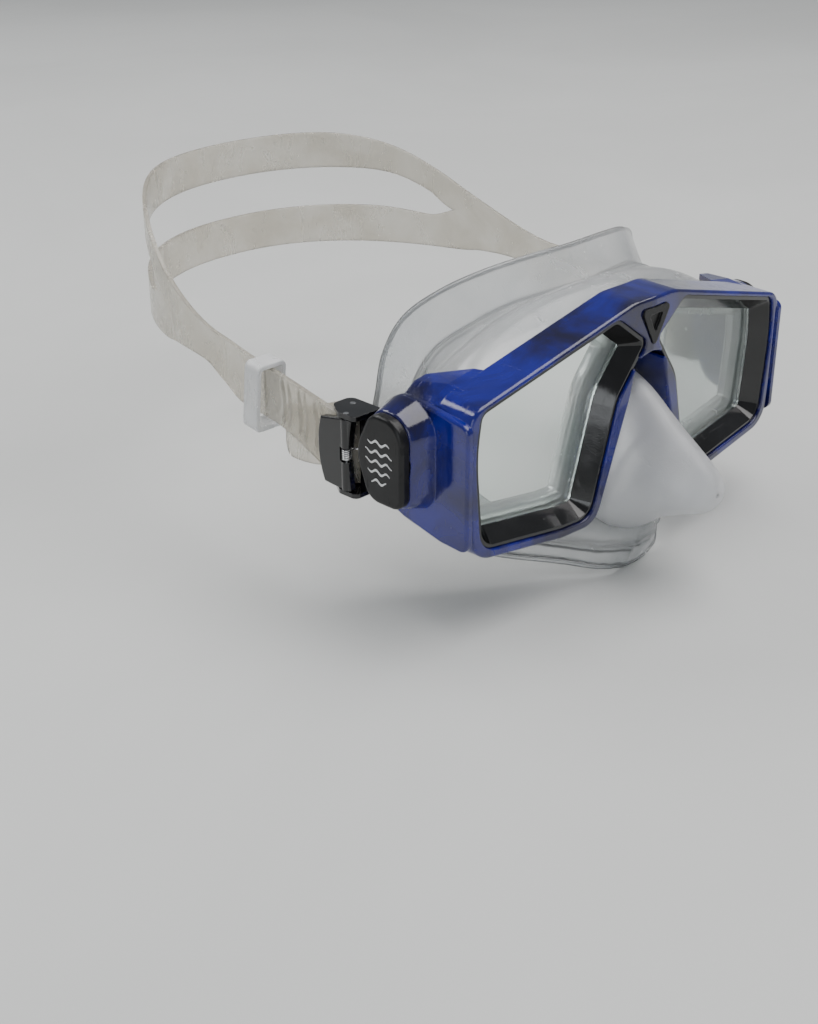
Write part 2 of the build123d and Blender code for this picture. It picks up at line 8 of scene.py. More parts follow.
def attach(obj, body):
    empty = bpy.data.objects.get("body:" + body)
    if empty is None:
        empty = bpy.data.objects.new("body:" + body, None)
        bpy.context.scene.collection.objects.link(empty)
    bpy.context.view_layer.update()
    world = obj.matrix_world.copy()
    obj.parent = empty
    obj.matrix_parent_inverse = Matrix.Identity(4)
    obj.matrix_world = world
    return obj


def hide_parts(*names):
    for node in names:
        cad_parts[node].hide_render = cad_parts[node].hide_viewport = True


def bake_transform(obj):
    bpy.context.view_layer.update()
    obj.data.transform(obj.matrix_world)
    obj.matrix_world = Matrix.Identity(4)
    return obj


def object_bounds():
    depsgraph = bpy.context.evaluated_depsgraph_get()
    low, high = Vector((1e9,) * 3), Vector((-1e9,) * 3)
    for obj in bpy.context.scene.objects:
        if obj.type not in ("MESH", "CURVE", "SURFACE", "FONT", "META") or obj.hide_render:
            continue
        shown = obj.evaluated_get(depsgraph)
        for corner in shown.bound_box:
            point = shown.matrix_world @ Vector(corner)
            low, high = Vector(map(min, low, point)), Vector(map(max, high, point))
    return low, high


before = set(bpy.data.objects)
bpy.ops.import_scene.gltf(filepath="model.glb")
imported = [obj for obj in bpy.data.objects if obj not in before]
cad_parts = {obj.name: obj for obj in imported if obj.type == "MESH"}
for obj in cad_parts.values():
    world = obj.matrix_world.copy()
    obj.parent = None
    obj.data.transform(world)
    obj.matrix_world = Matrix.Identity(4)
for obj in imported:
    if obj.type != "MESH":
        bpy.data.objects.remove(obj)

CAD_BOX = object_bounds()
MM = 0.001
SIDES = {"right": -1.0, "left": 1.0}

# the frame's windows, in millimetres, for the wearer's left, counterclockwise seen from the front
RIM_Y = -5.0
WRAP = radians(3.4)
WINDOW = [(74.4, 10.4), (16.6, 25.4), (2.2, 14.9), (14.5, -1.4),
          (24.6, -39.2), (37.5, -39.0), (73.6, -34.4), (76.4, -3.0)]
WINDOW_R = [4.5, 4.5, 3.0, 14.0, 6.5, 12.0, 7.5, 60.0]

# the skirt from the brow round the left side to the lip: where it leaves the frame, the crest
# of its bulge, a ridge, the fold where it meets the face, and its free edge
SKIRT_RIBS = [
    [(0, 8.2, 25.5), (0, 14.0, 30.0), (0, 19.8, 29.8), (0, 23.4, 27.8), (0, 30.0, 38.4)],
    [(16, 9.0, 24.2), (15.5, 15.2, 29.0), (15.5, 21.2, 29.0), (16.5, 24.8, 27.6), (18, 31.6, 38.0)],
    [(30, 9.8, 21.0), (29, 17.2, 26.4), (29, 24.2, 26.4), (31, 28.6, 25.8), (34, 35.8, 35.8)],
    [(44, 10.6, 17.2), (42.5, 19.2, 22.6), (41, 28.0, 21.4), (42.7, 33.0, 21.3), (47, 42.2, 31.0)],
    [(59, 11.6, 13.2), (55, 22.0, 17.2), (50.5, 32.2, 14.4), (52.5, 38.0, 15.2), (57, 48.4, 23.5)],
    [(71, 12.2, 9.0), (64.5, 24.0, 9.5), (57, 36.4, 6.5), (58.5, 40.4, 7.2), (63, 51.0, 13.0)],
    [(75.2, 12.8, -2.0), (68.4, 25.0, -1.0), (60.2, 37.6, -2.0), (61.8, 41.0, -1.5), (66.6, 50.6, 1.5)],
    [(75.3, 12.8, -14.0), (68.8, 25.0, -13.0), (60.8, 38.2, -13.0), (62.5, 42.0, -13.5), (67.6, 52.0, -11.0)],
    [(74, 12.6, -26.0), (67, 23.5, -25.5), (59.4, 35.4, -24.5), (61, 39.6, -25.5), (67, 51.0, -27.0)],
    [(66, 12.2, -34.5), (61, 19.5, -37.0), (55, 28.8, -36.0), (56.5, 32.6, -38.2), (62.6, 42.4, -40.8)],
    [(48, 11.0, -38.5), (45.5, 14.4, -43.0), (43.5, 18.4, -44.6), (44.5, 22.0, -47.0), (48.5, 24.8, -51.8)],
    [(30, 9.8, -41.5), (28, 7.0, -46.8), (27, 8.0, -50.0), (26.5, 10.0, -53.0), (26, 8.8, -58.4)],
    [(9.5, 0.0, -46.5), (13.6, -2.0, -49.8), (13.5, -2.6, -53.0), (13.2, -1.6, -56.0), (13.6, -1.0, -61.8)],
    [(0, -3.0, -47.8), (0, -6.2, -51.0), (0, -6.2, -54.2), (0, -4.8, -57.6), (0, -3.2, -64.2)],
]
SKIRT_WALL = 1.5
INNER_SEAL = 11.0           # how far the second lip reaches inwards from the fold
BROW_SLOPE = 0.6            # how fast the wearer's face leans back above eye level
WEB_DEPTH = 13.6            # from the frame's front to the middle of the web behind it

# the head that the mask is shaped for, in millimetres: ovals with an exponent above 2 are squarer
HEAD_MIDDLE = 107.0
OVAL_EXPONENT = 2.2
FACE_HALF_WIDTH = 76.0
FACE_DEPTH = 98.0
STRAP_HALF_WIDTH = 80.0
STRAP_DEPTH = 99.0
LIP_MIDDLE = (12.0, -57.0)  # y, z of the swelling above the mouth
LIP_REACH = 13.5
LIP_HALF_WIDTH = 24.0
LIP_HALF_HEIGHT = 22.0

# nose pocket sections, back to tip: y, top, bottom, half width above and below the middle
NOSE = [(10.0, 3.0, -52.0, 12.0, 19.0), (5.0, 1.6, -51.5, 11.0, 17.5), (-1.0, -1.2, -50.0, 9.6, 15.6),
        (-6.0, -4.6, -47.6, 9.2, 14.2), (-11.0, -8.8, -43.6, 9.0, 13.0), (-17.0, -13.6, -39.8, 8.4, 11.6),
        (-23.0, -18.0, -37.2, 7.6, 9.8), (-27.5, -21.4, -35.6, 6.4, 7.8), (-30.4, -24.2, -34.2, 4.6, 5.4),
        (-31.6, -26.6, -32.2, 2.4, 2.8)]
NOSE_WALL = 1.5

# strap, in millimetres
ROLLER = (82.6, 44.6)
WRAP_R = 4.15
STRAP_THICK = 1.5
TAIL_PLAN = [(80.3, 78.6), (80.25, 72.0), (79.9, 66.0), (79.1, 56.0), (78.45, 49.0)]
LEAD_PLAN = [(86.75, 45.5), (86.0, 52.0), (84.6, 66.0), (83.6, 77.0), (82.9, 85.0)]
LEAD_END = (81.2, 98.0)
TAIL_TOP = [(44.0, 1.2), (52.0, 0.8), (66.0, -4.4), (75.0, -6.2), (77.6, -7.6), (78.6, -10.5)]
TAIL_LOW = [(44.0, -21.2), (52.0, -21.5), (66.0, -24.4), (75.0, -25.0), (77.6, -24.2), (78.6, -21.5)]
STRAP_TOP = [(38.0, 1.2), (50.0, 1.4), (78.0, 4.4), (95.0, 5.6), (110.0, 7.4), (122.0, 10.4),
             (135.0, 15.6), (147.0, 21.5), (158.0, 28.0), (175.0, 37.0), (192.0, 42.0), (208.0, 43.0)]
STRAP_LOW = [(38.0, -21.0), (49.5, -20.8), (60.0, -17.5), (78.0, -13.0), (100.0, -12.4), (111.0, -7.6),
             (120.0, -3.2), (138.0, -2.5), (150.0, -3.5), (180.0, -3.0), (208.0, -2.0)]
SPLIT_START = 151.0
SPLIT_TOP = [(151.0, 12.5), (164.0, 21.0), (180.0, 27.0), (208.0, 29.0)]
SPLIT_LOW = [(151.0, 12.5), (160.0, 9.6), (180.0, 12.0), (208.0, 13.0)]
HEAD_JOIN = 85.0            # where the head strap takes over from the buckle's run
RIBS_AT = (57.5, 66.0, 74.5)
RIB_OFFSET = 1.5            # each rib is a pair of ridges this far either side of its middle
TAIL_GROOVES_AT = (70.0, 62.0)

# the caps' outer faces and the levers' pins, in millimetres
CAP_FACE_X = 91.63
CAP_MIDDLE_Y = 24.2
LEVER_PIN = (89.5, 40.2, -10.0)

CAMERA_PLACE = (-0.3713, -0.2705, 0.1773)
CAMERA_HEADING = -44.755
CAMERA_TILT = 63.73
CAMERA_ROLL = -0.18


# ---------------------------------------------------------------- shapes
def between(a, b, c, d, t):
    """The point a share t of the way from b to c, on the smooth curve through all four."""
    return 0.5 * (2 * b + (c - a) * t + (2 * a - 5 * b + 4 * c - d) * t * t
                  + (3 * b - a - 3 * c + d) * t * t * t)


def flow(points, steps, closed=False):
    """Points along a smooth curve that passes through the given ones."""
    count = len(points)
    spans = count if closed else count - 1
    result = []
    for k in range(spans):
        if closed:
            a, b, c, d = (Vector(points[(k + j) % count]) for j in (-1, 0, 1, 2))
        else:
            a, b, c, d = (Vector(points[min(max(k + j, 0), count - 1)]) for j in (-1, 0, 1, 2))
        result += [between(a, b, c, d, step / steps) for step in range(steps)]
    if not closed:
        result.append(Vector(points[-1]))
    return result


def height_at(outline, y):
    """The height of a smooth outline, given as (y, z) points, at one y."""
    dense = flow([(a, b, 0.0) for a, b in outline], 6)
    if y <= dense[0].x:
        return dense[0].y
    for p, q in zip(dense, dense[1:]):
        if p.x <= y <= q.x:
            return p.y + (q.y - p.y) * (y - p.x) / max(q.x - p.x, 1e-6)
    return dense[-1].y


def bump(value, centre, width):
    """1 at the centre, falling smoothly to 0 over about twice the width."""
    return exp(-((value - centre) / width) ** 2)


def piece(name, rows, material, wrap_rows=False, wrap_columns=False):
    """A smooth mesh through a grid of points in millimetres."""
    columns = len(rows[0])
    vertices = [Vector(p) * MM for row in rows for p in row]
    faces = []
    for i in range(len(rows) if wrap_rows else len(rows) - 1):
        low = i * columns
        high = (i + 1) % len(rows) * columns
        for j in range(columns if wrap_columns else columns - 1):
            k = (j + 1) % columns
            faces.append((low + j, low + k, high + k, high + j))
    return mesh_piece(name, vertices, faces, material)


def mesh_piece(name, vertices, faces, material):
    mesh = bpy.data.meshes.new(name)
    mesh.from_pydata(vertices, [], faces)
    mesh.validate()
    mesh.polygons.foreach_set("use_smooth", [True] * len(mesh.polygons))
    mesh.materials.append(material)
    made = bpy.data.objects.new(name, mesh)
    bpy.context.scene.collection.objects.link(made)
    return made


def thicken(target, thickness, offset, edge_round):
    """Gives a sheet its real thickness and rounds its edges."""
    solid = target.modifiers.new("thickness", "SOLIDIFY")
    solid.thickness = thickness * MM
    solid.offset = offset
    solid.use_even_offset = False
    rounding = target.modifiers.new("edges", "BEVEL")
    rounding.width = edge_round * MM
    rounding.segments = 3
    rounding.limit_method = "ANGLE"
    rounding.angle_limit = radians(50)
    return target


def settle(target):
    """Applies the piece's modifiers to its mesh."""
    bpy.context.view_layer.update()
    graph = bpy.context.evaluated_depsgraph_get()
    final = bpy.data.meshes.new_from_object(target.evaluated_get(graph))
    target.modifiers.clear()
    target.data = final
    return target


def grid_normals(rows, wrap_columns):
    """The unit normal at every point of a grid, from its neighbours."""
    result = []
    for i, row in enumerate(rows):
        before, after = rows[max(i - 1, 0)], rows[min(i + 1, len(rows) - 1)]
        line = []
        for j in range(len(row)):
            if wrap_columns:
                left, right = row[j - 1], row[(j + 1) % len(row)]
            else:
                left, right = row[max(j - 1, 0)], row[min(j + 1, len(row) - 1)]
            line.append((right - left).cross(after[j] - before[j]).normalized())
        result.append(line)
    return result


def raised(rows, height, wrap_columns):
    """The grid with every point moved along its normal by height(row, column)."""
    normals = grid_normals(rows, wrap_columns)
    return [[p + normals[i][j] * height(i, j) for j, p in enumerate(row)] for i, row in enumerate(rows)]


def ride(made, body, slot, *replaced):
    """Puts a piece on a body, in place of the named CAD pieces; the slot argument is not used."""
    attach(made, body)
    if replaced:
        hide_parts(*replaced)
    return made


# ---------------------------------------------------------------- surface effects
def add(tree, kind, **settings):
    """A new node with the given settings."""
    node = tree.nodes.new(kind)
    for key, value in settings.items():
        setattr(node, key, value)
    return node


def feed(tree, target, value):
    """Links a socket to another, or sets it to a plain value."""
    if isinstance(value, bpy.types.NodeSocket):
        tree.links.new(value, target)
    else:
        target.default_value = value


def maths(tree, operation, *values, clamp=False):
    node = add(tree, "ShaderNodeMath", operation=operation, use_clamp=clamp)
    for target, value in zip(node.inputs, values):
        feed(tree, target, value)
    return node.outputs[0]


def window_of(tree, value, low, high):
    """0 below low, 1 above high, smooth between."""
    node = add(tree, "ShaderNodeMapRange", interpolation_type="SMOOTHSTEP")
    feed(tree, node.inputs["Value"], value)
    feed(tree, node.inputs["From Min"], low)
    feed(tree, node.inputs["From Max"], high)
    return node.outputs["Result"]


def cloud(tree, place, scale, detail=3.0, roughness=0.55, distortion=0.0):
    node = add(tree, "ShaderNodeTexNoise")
    for socket, value in (("Vector", place), ("Scale", scale), ("Detail", detail),
                          ("Roughness", roughness), ("Distortion", distortion)):
        feed(tree, node.inputs[socket], value)
    return node.outputs["Fac"]


def object_place(tree, stretch=(1.0, 1.0, 1.0), turn=(0.0, 0.0, 0.0)):
    coordinates = add(tree, "ShaderNodeTexCoord")
    mapping = add(tree, "ShaderNodeMapping")
    mapping.inputs["Scale"].default_value = stretch
    mapping.inputs["Rotation"].default_value = turn
    tree.links.new(coordinates.outputs["Object"], mapping.inputs["Vector"])
    return mapping.outputs["Vector"]


def effect(name, inputs, outputs):
    """A new node group with named number inputs and named outputs."""
    tree = bpy.data.node_groups.new(name, "ShaderNodeTree")
    for label, default in inputs.items():
        socket = tree.interface.new_socket(label, in_out="INPUT", socket_type="NodeSocketFloat")
        socket.default_value = default
    for label, kind in outputs.items():
        tree.interface.new_socket(label, in_out="OUTPUT", socket_type=kind)
    entry = add(tree, "NodeGroupInput")
    leave = add(tree, "NodeGroupOutput")
    return tree, entry.outputs, leave.inputs


def make_mottle():
    """Slow, soft differences of tone through a moulding."""
    tree, given, out = effect("mottle", {"Scale": 60.0}, {"Mask": "NodeSocketFloat"})
    place = object_place(tree)
    big = cloud(tree, place, given["Scale"], 4.0, 0.6, 0.6)
    tree.links.new(window_of(tree, big, 0.34, 0.68), out["Mask"])
    return tree


def make_handling_film():
    """The film that wet fingers and dried water leave: smears and small round drops."""
    tree, given, out = effect("handling_film", {"Scale": 90.0, "Drops": 0.5}, {"Mask": "NodeSocketFloat"})
    streaked = object_place(tree, (1.0, 1.0, 0.35), (0.3, 0.5, 0.2))
    smear = cloud(tree, streaked, given["Scale"], 5.0, 0.65, 1.2)
    drops = add(tree, "ShaderNodeTexVoronoi", feature="DISTANCE_TO_EDGE")
    tree.links.new(object_place(tree), drops.inputs["Vector"])
    drops.inputs["Scale"].default_value = 420.0
    ring = window_of(tree, drops.outputs["Distance"], 0.34, 0.44)
    smeared = window_of(tree, smear, 0.42, 0.72)
    dropped = maths(tree, "MULTIPLY", ring, given["Drops"])
    tree.links.new(maths(tree, "MAXIMUM", smeared, dropped, clamp=True), out["Mask"])
    return tree


def make_hairline_scratches():
    """Fine scratches in two directions, in patches."""
    tree, given, out = effect("hairline_scratches", {"Scale": 900.0}, {"Mask": "NodeSocketFloat"})
    lines = []
    for turn, stretch in (((0.2, 0.4, 0.9), (1.0, 0.04, 0.2)), ((0.7, -0.5, -0.6), (0.05, 1.0, 0.3))):
        strokes = cloud(tree, object_place(tree, stretch, turn), given["Scale"], 2.0, 0.5)
        lines.append(window_of(tree, strokes, 0.66, 0.7))
    patch = window_of(tree, cloud(tree, object_place(tree), 70.0, 2.0), 0.45, 0.62)
    both = maths(tree, "MAXIMUM", lines[0], lines[1])
    tree.links.new(maths(tree, "MULTIPLY", both, patch), out["Mask"])
    return tree


def make_rubbed_edges():
    """Where edges are rubbed, and the normal of an edge that is slightly rounded."""
    tree, given, out = effect("rubbed_edges", {"Radius": 0.0004, "Breakup": 500.0},
                              {"Mask": "NodeSocketFloat", "Normal": "NodeSocketVector"})
    rounded = add(tree, "ShaderNodeBevel", samples=4)
    tree.links.new(given["Radius"], rounded.inputs["Radius"])
    surface = add(tree, "ShaderNodeNewGeometry")
    likeness = add(tree, "ShaderNodeVectorMath", operation="DOT_PRODUCT")
    tree.links.new(rounded.outputs["Normal"], likeness.inputs[0])
    tree.links.new(surface.outputs["Normal"], likeness.inputs[1])
    unlike = maths(tree, "SUBTRACT", 1.0, likeness.outputs["Value"])
    edge = window_of(tree, unlike, 0.02, 0.2)
    broken = window_of(tree, cloud(tree, object_place(tree), given["Breakup"], 4.0), 0.42, 0.66)
    tree.links.new(maths(tree, "MULTIPLY", edge, broken), out["Mask"])
    tree.links.new(rounded.outputs["Normal"], out["Normal"])
    return tree


def make_settled_dust():
    """Specks of dust, more of them on what faces up."""
    tree, given, out = effect("settled_dust", {"Amount": 0.5}, {"Mask": "NodeSocketFloat"})
    surface = add(tree, "ShaderNodeNewGeometry")
    split = add(tree, "ShaderNodeSeparateXYZ")
    tree.links.new(surface.outputs["Normal"], split.inputs[0])
    upward = window_of(tree, split.outputs["Z"], -0.4, 0.9)
    specks = add(tree, "ShaderNodeTexVoronoi", feature="F1")
    tree.links.new(object_place(tree), specks.inputs["Vector"])
    specks.inputs["Scale"].default_value = 520.0
    dots = window_of(tree, maths(tree, "SUBTRACT", 1.0, specks.outputs["Distance"]), 0.88, 0.97)
    chosen = window_of(tree, cloud(tree, object_place(tree), 160.0, 3.0), 0.55, 0.7)
    shown = maths(tree, "MULTIPLY", maths(tree, "MULTIPLY", dots, chosen), upward)
    tree.links.new(maths(tree, "MULTIPLY", shown, given["Amount"]), out["Mask"])
    return tree


def make_mould_texture():
    """The height of a moulded surface: slow flow waves and a fine grain."""
    tree, given, out = effect("mould_texture", {"Wave": 120.0, "Grain": 2500.0, "Grain Share": 0.3},
                              {"Height": "NodeSocketFloat"})
    waves = cloud(tree, object_place(tree), given["Wave"], 2.0, 0.5, 0.4)
    grain = cloud(tree, object_place(tree), given["Grain"], 2.0)
    part = maths(tree, "MULTIPLY", grain, given["Grain Share"])
    tree.links.new(maths(tree, "ADD", waves, part), out["Height"])
    return tree


EFFECTS = {"mottle": make_mottle(), "film": make_handling_film(), "scratches": make_hairline_scratches(),
           "edges": make_rubbed_edges(), "dust": make_settled_dust(), "mould": make_mould_texture()}


def place_effect(tree, name, **values):
    node = add(tree, "ShaderNodeGroup", node_tree=EFFECTS[name])
    for label, value in values.items():
        feed(tree, node.inputs[label.replace("_", " ").title()], value)
    return node.outputs


def tinted(tree, under, over, mask):
    """The colour under, with the colour over where the mask is 1."""
    node = add(tree, "ShaderNodeMix", data_type="RGBA")
    feed(tree, node.inputs["Factor"], mask)
    for target, value in ((node.inputs[6], under), (node.inputs[7], over)):
        feed(tree, target, (*value, 1.0) if isinstance(value, tuple) else value)
    return node.outputs[2]


def finish(name, colour, tone, tone_scale=60.0, rough=(0.1, 0.25), film=(90.0, 0.4), rub=(0.3, 0.3, 0.3),
           rub_amount=0.4, dust=0.3, radius=0.0004, wave=120.0, grain=2500.0, grain_share=0.3, relief=0.00005,
           scratch=0.35, **shader):
    """A moulded or ground material: tone, film, rubbed edges, dust, scratches and surface relief."""
    material = bpy.data.materials.new(name)
    material.use_nodes = True
    tree = material.node_tree
    principled = tree.nodes["Principled BSDF"]
    mottle = place_effect(tree, "mottle", scale=tone_scale)["Mask"]
    edges = place_effect(tree, "edges", radius=radius, breakup=500.0)
    specks = place_effect(tree, "dust", amount=dust)["Mask"]
    smears = place_effect(tree, "film", scale=film[0], drops=film[1])["Mask"]
    strokes = place_effect(tree, "scratches", scale=900.0)["Mask"]
    body = tinted(tree, colour, tone, mottle)
    rubbed = maths(tree, "MULTIPLY", edges["Mask"], rub_amount)
    body = tinted(tree, body, rub, rubbed)
    body = tinted(tree, body, (0.75, 0.74, 0.7), specks)
    tree.links.new(body, principled.inputs["Base Color"])
    span = maths(tree, "MULTIPLY_ADD", smears, rough[1] - rough[0], rough[0])
    marked = maths(tree, "MULTIPLY_ADD", maths(tree, "MAXIMUM", strokes, specks), scratch, span, clamp=True)
    tree.links.new(marked, principled.inputs["Roughness"])
    relief_height = place_effect(tree, "mould", wave=wave, grain=grain, grain_share=grain_share)["Height"]
    cut = maths(tree, "MULTIPLY_ADD", strokes, -0.25, relief_height)
    raise_surface = add(tree, "ShaderNodeBump")
    raise_surface.inputs["Distance"].default_value = relief
    tree.links.new(cut, raise_surface.inputs["Height"])
    tree.links.new(edges["Normal"], raise_surface.inputs["Normal"])
    tree.links.new(raise_surface.outputs["Normal"], principled.inputs["Normal"])
    for label, value in shader.items():
        principled.inputs[label.replace("_", " ").title().replace("Ior", "IOR")].default_value = value
    return material


BLUE = finish("translucent_blue", (0.004, 0.003, 0.045), (0.008, 0.013, 0.34), tone_scale=34.0,
              rough=(0.06, 0.2), rub=(0.22, 0.24, 0.7), rub_amount=0.5, dust=0.3, radius=0.0006,
              wave=90.0, relief=0.00006, scratch=0.15, transmission_weight=0.35, ior=1.56,
              coat_weight=0.4, coat_roughness=0.04)
GLOSS_BLACK = finish("polished_black", (0.003, 0.003, 0.0035), (0.008, 0.008, 0.009), rough=(0.05, 0.16),
                     rub=(0.12, 0.12, 0.13), rub_amount=0.4, dust=0.3, radius=0.0004, relief=0.00004,
                     scratch=0.15, coat_weight=0.3, coat_roughness=0.03)
SATIN_BLACK = finish("satin_black", (0.005, 0.005, 0.0055), (0.012, 0.012, 0.013), rough=(0.28, 0.42),
                     rub=(0.2, 0.2, 0.21), rub_amount=0.5, dust=0.4, radius=0.0005, grain=3200.0,
                     grain_share=0.8, relief=0.00006, specular_ior_level=0.35)
GLASS = finish("tempered_glass", (0.90, 0.985, 0.95), (0.94, 0.99, 0.97), rough=(0.0, 0.07),
               film=(70.0, 0.3), rub=(0.8, 0.95, 0.9), rub_amount=0.1, dust=0.25, radius=0.0003,
               relief=0.000004, scratch=0.15, transmission_weight=1.0, ior=1.5)
SILICONE = finish("clear_silicone", (0.80, 0.82, 0.83), (0.90, 0.91, 0.91), tone_scale=30.0,
                  rough=(0.12, 0.3), film=(60.0, 0.2), rub=(0.95, 0.96, 0.96), rub_amount=0.4, dust=0.3,
                  radius=0.0005, wave=70.0, relief=0.00018, scratch=0.1, transmission_weight=0.72,
                  ior=1.41)
NOSE_SILICONE = finish("frosted_silicone", (0.86, 0.87, 0.89), (0.94, 0.95, 0.96), tone_scale=40.0,
                       rough=(0.3, 0.42), film=(60.0, 0.2), rub=(0.95, 0.96, 0.98), rub_amount=0.3,
                       dust=0.3, radius=0.0005, wave=60.0, relief=0.00015, scratch=0.1,
                       transmission_weight=0.72, ior=1.41)
STRAP_SILICONE = finish("strap_silicone", (0.74, 0.70, 0.61), (0.86, 0.83, 0.76), tone_scale=45.0,
                        rough=(0.18, 0.36), film=(80.0, 0.3), rub=(0.93, 0.92, 0.88), rub_amount=0.4,
                        dust=0.3, radius=0.0004, wave=90.0, relief=0.00016, scratch=0.1,
                        transmission_weight=0.7, ior=1.41)
WHITE_SILICONE = finish("milky_white", (0.86, 0.87, 0.88), (0.95, 0.955, 0.96), tone_scale=120.0,
                        rough=(0.25, 0.4), rub=(0.98, 0.98, 0.98), rub_amount=0.3, dust=0.3,
                        relief=0.00005, transmission_weight=0.35, ior=1.45)
STEEL = finish("stainless", (0.52, 0.52, 0.53), (0.66, 0.66, 0.67), tone_scale=300.0, rough=(0.18, 0.34),
               rub=(0.85, 0.85, 0.86), rub_amount=0.6, dust=0.2, radius=0.0002, grain=5000.0,
               relief=0.00002, metallic=1.0)
INK = finish("white_ink", (0.75, 0.76, 0.77), (0.86, 0.86, 0.86), tone_scale=900.0, rough=(0.45, 0.6),
             rub=(0.5, 0.5, 0.5), rub_amount=0.3, dust=0.3, radius=0.0001, relief=0.00001)

SHOWN_CAD = {"front_frame": BLUE, "bridge_clip": SATIN_BLACK}
for side in SIDES:
    for node, material in (("lens_retainer", GLOSS_BLACK), ("lens", GLASS), ("boss_cap", SATIN_BLACK),
                           ("pivot_screw", STEEL), ("buckle_body", GLOSS_BLACK),
                           ("release_lever", GLOSS_BLACK), ("strap_roller", SATIN_BLACK),
                           ("strap_keeper", WHITE_SILICONE), ("roller_pin", STEEL), ("lever_pin", STEEL)):
        SHOWN_CAD[f"{node}_{side}"] = material
for node, material in SHOWN_CAD.items():
    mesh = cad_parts[node].data
    mesh.materials.clear()
    mesh.materials.append(material)


# ---------------------------------------------------------------- skirt
def skirt_profile():
    """Where the skirt's wall is sampled: 0 at the frame, 1 crest, 2 ridge, 3 fold, 4 free edge."""
    even = [k / 8 for k in range(33)]
    close = [2 + d for d in (-0.06, -0.03, 0.03, 0.06)] + [3 + d for d in (-0.08, -0.04, 0.04, 0.08)]
    edge = [3.93, 3.965, 3.985]
    return sorted(even + close + edge)


def skirt_relief(t):
    """How far the wall stands off its smooth shape: a welt, a sharp fold and a beaded edge."""
    return 0.6 * bump(t, 2.0, 0.07) - 0.8 * bump(t, 3.0, 0.05) + 0.4 * bump(t, 3.985, 0.03)


def mirrored(ribs):
    """The ribs of the whole ring, from those of the left half."""
    other = [[(-x, y, z) for x, y, z in rib] for rib in reversed(ribs[1:-1])]
    return ribs + other


def skirt_rows(ribs, profile):
    rings = [flow(list(ring), 8, closed=True) for ring in zip(*mirrored(ribs))]
    rows = []
    for t in profile:
        k = min(int(t), len(rings) - 2)
        row = []
        for j in range(len(rings[0])):
            a, b, c, d = (rings[min(max(k + s, 0), len(rings) - 1)][j] for s in (-1, 0, 1, 2))
            row.append(between(a, b, c, d, t - k))
        rows.append(row)
    return rows


def puckers(point):
    """Small wrinkles where the skirt turns under the nose."""
    near = exp(-(point.x / 17.0) ** 2) * bump(point.z, -56.0, 7.0)
    wave = noise.noise(Vector((point.x * 0.28, point.y * 0.1, point.z * 0.12)))
    return near * (1.5 * wave + 0.35 * sin(point.x * 1.1))


def make_skirt_wall():
    profile = skirt_profile()
    rows = skirt_rows(SKIRT_RIBS, profile)

    def relief(i, j):
        p = rows[i][j]
        slow = 0.35 * noise.noise(p * 0.045) * min(profile[i], 1.0)
        return skirt_relief(profile[i]) + slow + puckers(p)

    rows = raised(rows, relief, wrap_columns=True)
    wall = piece("skirt_wall", rows, SILICONE, wrap_columns=True)
    return thicken(wall, SKIRT_WALL, -1.0, 0.3)


def face_at(x, z):
    """How far back the wearer's face lies: a column that leans back above the eyes, and the lip."""
    sideways = min(abs(x) / FACE_HALF_WIDTH, 0.999) ** OVAL_EXPONENT
    column = HEAD_MIDDLE - FACE_DEPTH * (1 - sideways) ** (1 / OVAL_EXPONENT) + BROW_SLOPE * max(z, 0.0)
    lip = 1 - (x / LIP_HALF_WIDTH) ** 2 - ((z - LIP_MIDDLE[1]) / LIP_HALF_HEIGHT) ** 2
    return min(column, LIP_MIDDLE[0] - LIP_REACH * sqrt(lip)) if lip > 0 else column


def make_inner_seal():
    """The second lip: it leaves the fold, turns inwards and lies on the face."""
    fold = skirt_rows(SKIRT_RIBS, [3.0])[0]
    rows = []
    steps = 9
    for step in range(steps + 1):
        share = step / steps
        row = []
        for p in fold:
            inward = Vector((-p.x, 0.0, -4.0 - p.z)).normalized()
            q = p + inward * INNER_SEAL * share
            on_face = face_at(q.x, q.z) - 0.8 - 0.6 * sin(pi * share)
            q.y = p.y + 0.9 + (on_face - p.y - 0.9) * min(1.0, 2.5 * share)
            row.append(q)
        rows.append(row)
    seal = piece("inner_seal", rows, SILICONE, wrap_columns=True)
    return thicken(seal, 1.0, 0.0, 0.3)


def corner_ring(points, radii, inset, steps=7):
    """A window outline moved inwards, as points round its rounded corners."""
    count = len(points)
    moved, turns = [], []
    for k in range(count):
        before, here, after = points[k - 1], points[k], points[(k + 1) % count]
        e1 = Vector((here[0] - before[0], here[1] - before[1])).normalized()
        e2 = Vector((after[0] - here[0], after[1] - here[1])).normalized()
        n1, n2 = Vector((-e1.y, e1.x)), Vector((-e2.y, e2.x))
        scale = inset / (1.0 + n1.dot(n2))
        moved.append(Vector(here) + scale * (n1 + n2))
        turns.append((e1, e2, n1, n2))
    ring = []
    for k in range(count):
        e1, e2, n1, n2 = turns[k]
        convex = e1.x * e2.y - e1.y * e2.x > 0
        r = max(radii[k] - inset if convex else radii[k] + inset, 0.8)
        half = e1.angle(e2) / 2
        reach = r * tan(half)
        side = 1.0 if convex else -1.0
        centre = moved[k] - e1 * reach + side * n1 * r
        for s in range(steps + 1):
            normal = n1.slerp(n2, s / steps) if e1.angle(e2) > 1e-3 else n1
            ring.append(centre - side * normal * r)
    return ring


def on_window(ring, depth, sign):
    """Points of a window outline placed at a depth behind the frame's front."""
    placed = []
    for p in ring:
        x = p.x * cos(WRAP) - depth * sin(WRAP)
        y = RIM_Y + p.x * sin(WRAP) + depth * cos(WRAP)
        placed.append(Vector((sign * x, y, p.y)))
    return placed


